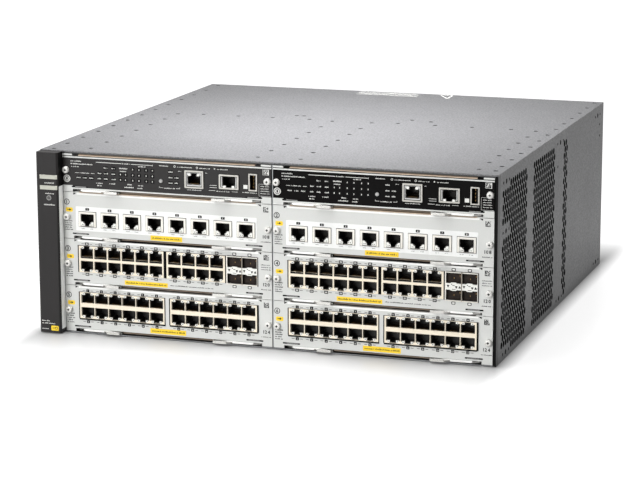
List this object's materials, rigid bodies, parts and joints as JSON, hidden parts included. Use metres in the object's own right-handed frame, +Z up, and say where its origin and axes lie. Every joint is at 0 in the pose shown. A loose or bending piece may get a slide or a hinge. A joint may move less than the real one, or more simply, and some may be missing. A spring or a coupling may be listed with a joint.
{
  "type": "modular chassis switch",
  "caption": "Rack-height network chassis with rows of plug-in port modules behind ejector levers, a left bezel with light bars, perforated sides, and a fan tray over power supplies at the rear.",
  "frame": {"origin": "centre of the base of the whole outline, on the surface that the case stands on", "axes": "+X to the right seen from the front, the front faces -Y, +Z up"},
  "size_m": [0.4444, 0.4844, 0.1753],
  "materials": {
    "case_paint": "fine speckled powder coat, satin",
    "bezel_plastic": "moulded charcoal plastic, satin",
    "lens": "frosted light bars",
    "zinc_sheet": "zinc-plated sheet",
    "guide_plastic": "moulded",
    "circuit_board": "solder mask",
    "bright_sheet": "satin silver-grey sheet",
    "black_panel": "black printed panel, satin",
    "jack_plastic": "moulded cream plastic",
    "jack_shield": "tin-plated shield",
    "bare_steel": "bare bright steel",
    "button_plastic": "moulded",
    "latch_plastic": "moulded",
    "fan_plastic": "moulded black"
  },
  "bodies": {
    "chassis": {"chassis_shell": "case_paint", "top_cover": "case_paint", "front_bezel": "bezel_plastic", "bezel_lenses": "lens", "inner_partitions": "zinc_sheet", "card_guides": "guide_plastic", "midplane_board": "circuit_board"},
    "module_e": {"module_e_faceplate": "bright_sheet", "module_e_board": "circuit_board", "module_e_jacks": "jack_plastic"},
    "module_e_lever_left": {"module_e_lever_left": "bare_steel"},
    "module_e_lever_right": {"module_e_lever_right": "bare_steel"},
    "module_f": {"module_f_faceplate": "bright_sheet", "module_f_board": "circuit_board", "module_f_jacks": "jack_plastic"},
    "module_f_lever_left": {"module_f_lever_left": "bare_steel"},
    "module_f_lever_right": {"module_f_lever_right": "bare_steel"},
    "module_c": {"module_c_faceplate": "bright_sheet", "module_c_board": "circuit_board", "module_c_jacks": "jack_plastic", "module_c_optical_cage": "jack_shield"},
    "module_c_lever_left": {"module_c_lever_left": "bare_steel"},
    "module_c_lever_right": {"module_c_lever_right": "bare_steel"},
    "module_d": {"module_d_faceplate": "bright_sheet", "module_d_board": "circuit_board", "module_d_jacks": "jack_plastic", "module_d_optical_cage": "jack_shield"},
    "module_d_lever_left": {"module_d_lever_left": "bare_steel"},
    "module_d_lever_right": {"module_d_lever_right": "bare_steel"},
    "module_a": {"module_a_faceplate": "bright_sheet", "module_a_board": "circuit_board", "module_a_jacks": "jack_shield"},
    "module_a_lever_left": {"module_a_lever_left": "bare_steel"},
    "module_a_lever_right": {"module_a_lever_right": "bare_steel"},
    "module_b": {"module_b_faceplate": "bright_sheet", "module_b_board": "circuit_board", "module_b_jacks": "jack_shield"},
    "module_b_lever_left": {"module_b_lever_left": "bare_steel"},
    "module_b_lever_right": {"module_b_lever_right": "bare_steel"},
    "manager_left": {"manager_left_faceplate": "black_panel", "manager_left_board": "circuit_board", "manager_left_jacks": "jack_shield"},
    "manager_left_lever_left": {"manager_left_lever_left": "bare_steel"},
    "manager_left_lever_right": {"manager_left_lever_right": "bare_steel"},
    "manager_left_button": {"manager_left_button": "button_plastic"},
    "manager_right": {"manager_right_faceplate": "black_panel", "manager_right_board": "circuit_board", "manager_right_jacks": "jack_shield"},
    "manager_right_lever_left": {"manager_right_lever_left": "bare_steel"},
    "manager_right_lever_right": {"manager_right_lever_right": "bare_steel"},
    "manager_right_button": {"manager_right_button": "button_plastic"},
    "power_supply_left": {"power_supply_left": "zinc_sheet"},
    "power_supply_left_latch": {"power_supply_left_latch": "latch_plastic"},
    "power_supply_right": {"power_supply_right": "zinc_sheet"},
    "power_supply_right_latch": {"power_supply_right_latch": "latch_plastic"},
    "fan_tray": {"fan_tray": "zinc_sheet"},
    "fan_rotor_1": {"fan_rotor_1": "fan_plastic"},
    "fan_rotor_2": {"fan_rotor_2": "fan_plastic"},
    "fan_rotor_3": {"fan_rotor_3": "fan_plastic"},
    "fan_rotor_4": {"fan_rotor_4": "fan_plastic"}
  },
  "joints": [
    {"name": "module_e_slide", "type": "slide", "parent": "chassis", "child": "module_e", "axis": [0, -1, 0], "range_m": [0, 0.27]},
    {"name": "module_e_lever_left_pivot", "type": "hinge", "parent": "module_e", "child": "module_e_lever_left", "pos_m": [-0.18555, -0.22405, 0.0019], "axis": [0, 0, -1], "range_deg": [0, 50]},
    {"name": "module_e_lever_right_pivot", "type": "hinge", "parent": "module_e", "child": "module_e_lever_right", "pos_m": [-0.00515, -0.22405, 0.0019], "axis": [0, 0, 1], "range_deg": [0, 50]},
    {"name": "module_f_slide", "type": "slide", "parent": "chassis", "child": "module_f", "axis": [0, -1, 0], "range_m": [0, 0.27]},
    {"name": "module_f_lever_left_pivot", "type": "hinge", "parent": "module_f", "child": "module_f_lever_left", "pos_m": [0.02445, -0.22405, 0.0019], "axis": [0, 0, -1], "range_deg": [0, 50]},
    {"name": "module_f_lever_right_pivot", "type": "hinge", "parent": "module_f", "child": "module_f_lever_right", "pos_m": [0.20485, -0.22405, 0.0019], "axis": [0, 0, 1], "range_deg": [0, 50]},
    {"name": "module_c_slide", "type": "slide", "parent": "chassis", "child": "module_c", "axis": [0, -1, 0], "range_m": [0, 0.27]},
    {"name": "module_c_lever_left_pivot", "type": "hinge", "parent": "module_c", "child": "module_c_lever_left", "pos_m": [-0.18555, -0.22405, 0.0469], "axis": [0, 0, -1], "range_deg": [0, 50]},
    {"name": "module_c_lever_right_pivot", "type": "hinge", "parent": "module_c", "child": "module_c_lever_right", "pos_m": [-0.00515, -0.22405, 0.0469], "axis": [0, 0, 1], "range_deg": [0, 50]},
    {"name": "module_d_slide", "type": "slide", "parent": "chassis", "child": "module_d", "axis": [0, -1, 0], "range_m": [0, 0.27]},
    {"name": "module_d_lever_left_pivot", "type": "hinge", "parent": "module_d", "child": "module_d_lever_left", "pos_m": [0.02445, -0.22405, 0.0469], "axis": [0, 0, -1], "range_deg": [0, 50]},
    {"name": "module_d_lever_right_pivot", "type": "hinge", "parent": "module_d", "child": "module_d_lever_right", "pos_m": [0.20485, -0.22405, 0.0469], "axis": [0, 0, 1], "range_deg": [0, 50]},
    {"name": "module_a_slide", "type": "slide", "parent": "chassis", "child": "module_a", "axis": [0, -1, 0], "range_m": [0, 0.27]},
    {"name": "module_a_lever_left_pivot", "type": "hinge", "parent": "module_a", "child": "module_a_lever_left", "pos_m": [-0.18555, -0.22405, 0.0919], "axis": [0, 0, -1], "range_deg": [0, 50]},
    {"name": "module_a_lever_right_pivot", "type": "hinge", "parent": "module_a", "child": "module_a_lever_right", "pos_m": [-0.00515, -0.22405, 0.0919], "axis": [0, 0, 1], "range_deg": [0, 50]},
    {"name": "module_b_slide", "type": "slide", "parent": "chassis", "child": "module_b", "axis": [0, -1, 0], "range_m": [0, 0.27]},
    {"name": "module_b_lever_left_pivot", "type": "hinge", "parent": "module_b", "child": "module_b_lever_left", "pos_m": [0.02445, -0.22405, 0.0919], "axis": [0, 0, -1], "range_deg": [0, 50]},
    {"name": "module_b_lever_right_pivot", "type": "hinge", "parent": "module_b", "child": "module_b_lever_right", "pos_m": [0.20485, -0.22405, 0.0919], "axis": [0, 0, 1], "range_deg": [0, 50]},
    {"name": "manager_left_slide", "type": "slide", "parent": "chassis", "child": "manager_left", "axis": [0, -1, 0], "range_m": [0, 0.27]},
    {"name": "manager_left_lever_left_pivot", "type": "hinge", "parent": "manager_left", "child": "manager_left_lever_left", "pos_m": [-0.18555, -0.22405, 0.1369], "axis": [0, 0, -1], "range_deg": [0, 50]},
    {"name": "manager_left_lever_right_pivot", "type": "hinge", "parent": "manager_left", "child": "manager_left_lever_right", "pos_m": [-0.00515, -0.22405, 0.1369], "axis": [0, 0, 1], "range_deg": [0, 50]},
    {"name": "manager_left_button_press", "type": "slide", "parent": "manager_left", "child": "manager_left_button", "axis": [0, 1, 0], "range_m": [0, 0.001], "stiffness_N_per_m": 300},
    {"name": "manager_right_slide", "type": "slide", "parent": "chassis", "child": "manager_right", "axis": [0, -1, 0], "range_m": [0, 0.27]},
    {"name": "manager_right_lever_left_pivot", "type": "hinge", "parent": "manager_right", "child": "manager_right_lever_left", "pos_m": [0.02445, -0.22405, 0.1369], "axis": [0, 0, -1], "range_deg": [0, 50]},
    {"name": "manager_right_lever_right_pivot", "type": "hinge", "parent": "manager_right", "child": "manager_right_lever_right", "pos_m": [0.20485, -0.22405, 0.1369], "axis": [0, 0, 1], "range_deg": [0, 50]},
    {"name": "manager_right_button_press", "type": "slide", "parent": "manager_right", "child": "manager_right_button", "axis": [0, 1, 0], "range_m": [0, 0.001], "stiffness_N_per_m": 300},
    {"name": "power_supply_left_slide", "type": "slide", "parent": "chassis", "child": "power_supply_left", "axis": [0, 1, 0], "range_m": [0, 0.145]},
    {"name": "power_supply_left_latch_turn", "type": "hinge", "parent": "power_supply_left", "child": "power_supply_left_latch", "pos_m": [-0.20255, 0.22055, 0.0741], "axis": [0, 1, 0], "range_deg": [0, 40]},
    {"name": "power_supply_right_slide", "type": "slide", "parent": "chassis", "child": "power_supply_right", "axis": [0, 1, 0], "range_m": [0, 0.145]},
    {"name": "power_supply_right_latch_turn", "type": "hinge", "parent": "power_supply_right", "child": "power_supply_right_latch", "pos_m": [0.0185, 0.22055, 0.0741], "axis": [0, 1, 0], "range_deg": [0, 40]},
    {"name": "fan_tray_slide", "type": "slide", "parent": "chassis", "child": "fan_tray", "axis": [0, 1, 0], "range_m": [0, 0.06]},
    {"name": "fan_rotor_1_spin", "type": "hinge", "parent": "fan_tray", "child": "fan_rotor_1", "pos_m": [-0.156, 0.19605, 0.13195], "axis": [0, 1, 0], "continuous": true},
    {"name": "fan_rotor_2_spin", "type": "hinge", "parent": "fan_tray", "child": "fan_rotor_2", "pos_m": [-0.052, 0.19605, 0.13195], "axis": [0, 1, 0], "continuous": true},
    {"name": "fan_rotor_3_spin", "type": "hinge", "parent": "fan_tray", "child": "fan_rotor_3", "pos_m": [0.052, 0.19605, 0.13195], "axis": [0, 1, 0], "continuous": true},
    {"name": "fan_rotor_4_spin", "type": "hinge", "parent": "fan_tray", "child": "fan_rotor_4", "pos_m": [0.156, 0.19605, 0.13195], "axis": [0, 1, 0], "continuous": true}
  ]
}
